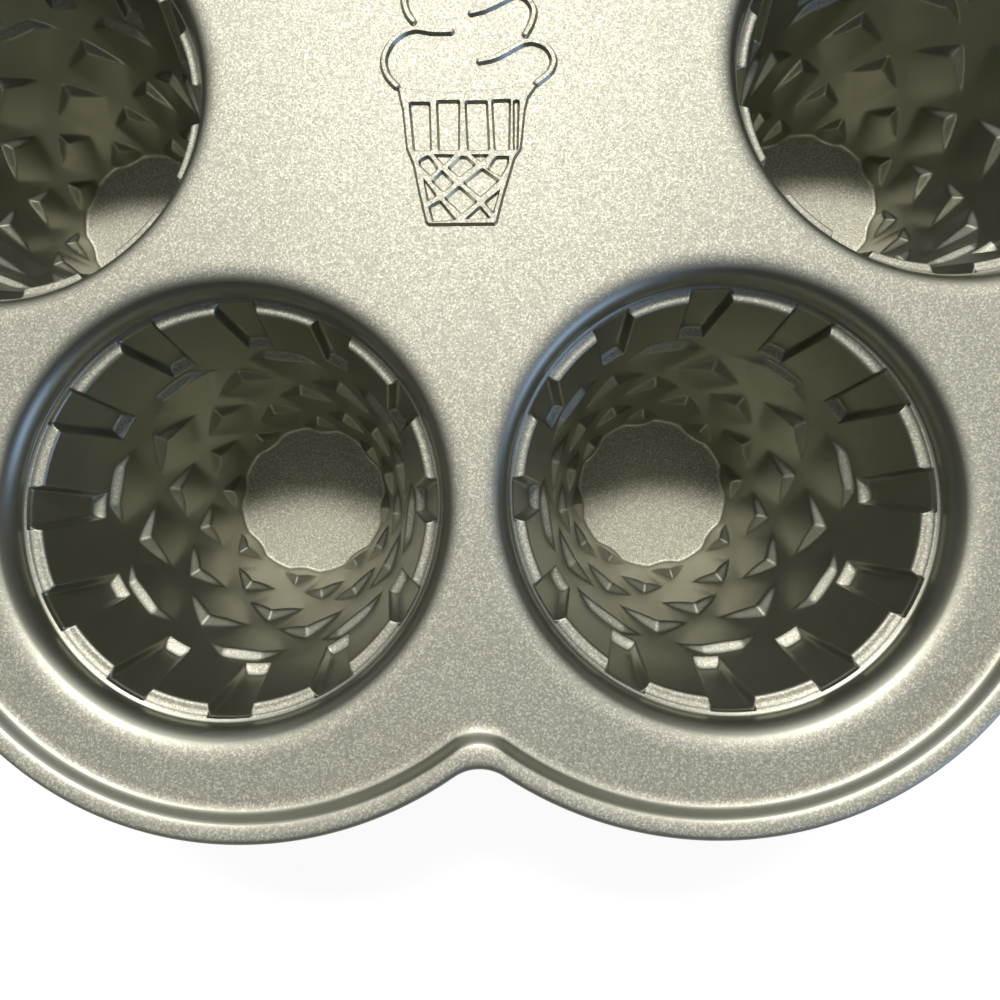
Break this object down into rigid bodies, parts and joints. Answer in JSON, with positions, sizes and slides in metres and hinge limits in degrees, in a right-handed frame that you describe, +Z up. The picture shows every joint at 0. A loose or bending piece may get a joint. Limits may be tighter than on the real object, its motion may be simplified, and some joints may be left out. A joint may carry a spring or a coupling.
{
  "type": "ice cream cone cake pan",
  "caption": "Cast cake pan with deep cone-shaped wells in a scalloped deck with a raised lip; ribbed collars, raised diamond lattice walls and a raised cone figure.",
  "frame": {"origin": "centre of the pan's footprint, on the surface that the wells stand on", "axes": "+Z up out of the wells, +X across the pan through two opposite wells, +Y from the foot to the top of the raised figure"},
  "size_m": [0.2718, 0.2514, 0.0679],
  "materials": {
    "deck_coating": "sparkling satin nonstick coating on cast metal",
    "well_coating": "satin nonstick coating on cast metal",
    "figure_coating": "sparkling satin nonstick coating on cast metal"
  },
  "bodies": {
    "root": {"deck_plate": "deck_coating", "outer_rim": "deck_coating", "emblem_cone": "figure_coating", "emblem_swirl": "figure_coating", "well_1_mouth": "deck_coating", "well_1_collar": "well_coating", "well_1_lattice": "well_coating", "well_1_floor": "deck_coating", "well_2_mouth": "deck_coating", "well_2_collar": "well_coating", "well_2_lattice": "well_coating", "well_2_floor": "deck_coating", "well_3_mouth": "deck_coating", "well_3_collar": "well_coating", "well_3_lattice": "well_coating", "well_3_floor": "deck_coating", "well_4_mouth": "deck_coating", "well_4_collar": "well_coating", "well_4_lattice": "well_coating", "well_4_floor": "deck_coating", "well_5_mouth": "deck_coating", "well_5_collar": "well_coating", "well_5_lattice": "well_coating", "well_5_floor": "deck_coating", "well_6_mouth": "deck_coating", "well_6_collar": "well_coating", "well_6_lattice": "well_coating", "well_6_floor": "deck_coating"}
  },
  "joints": []
}
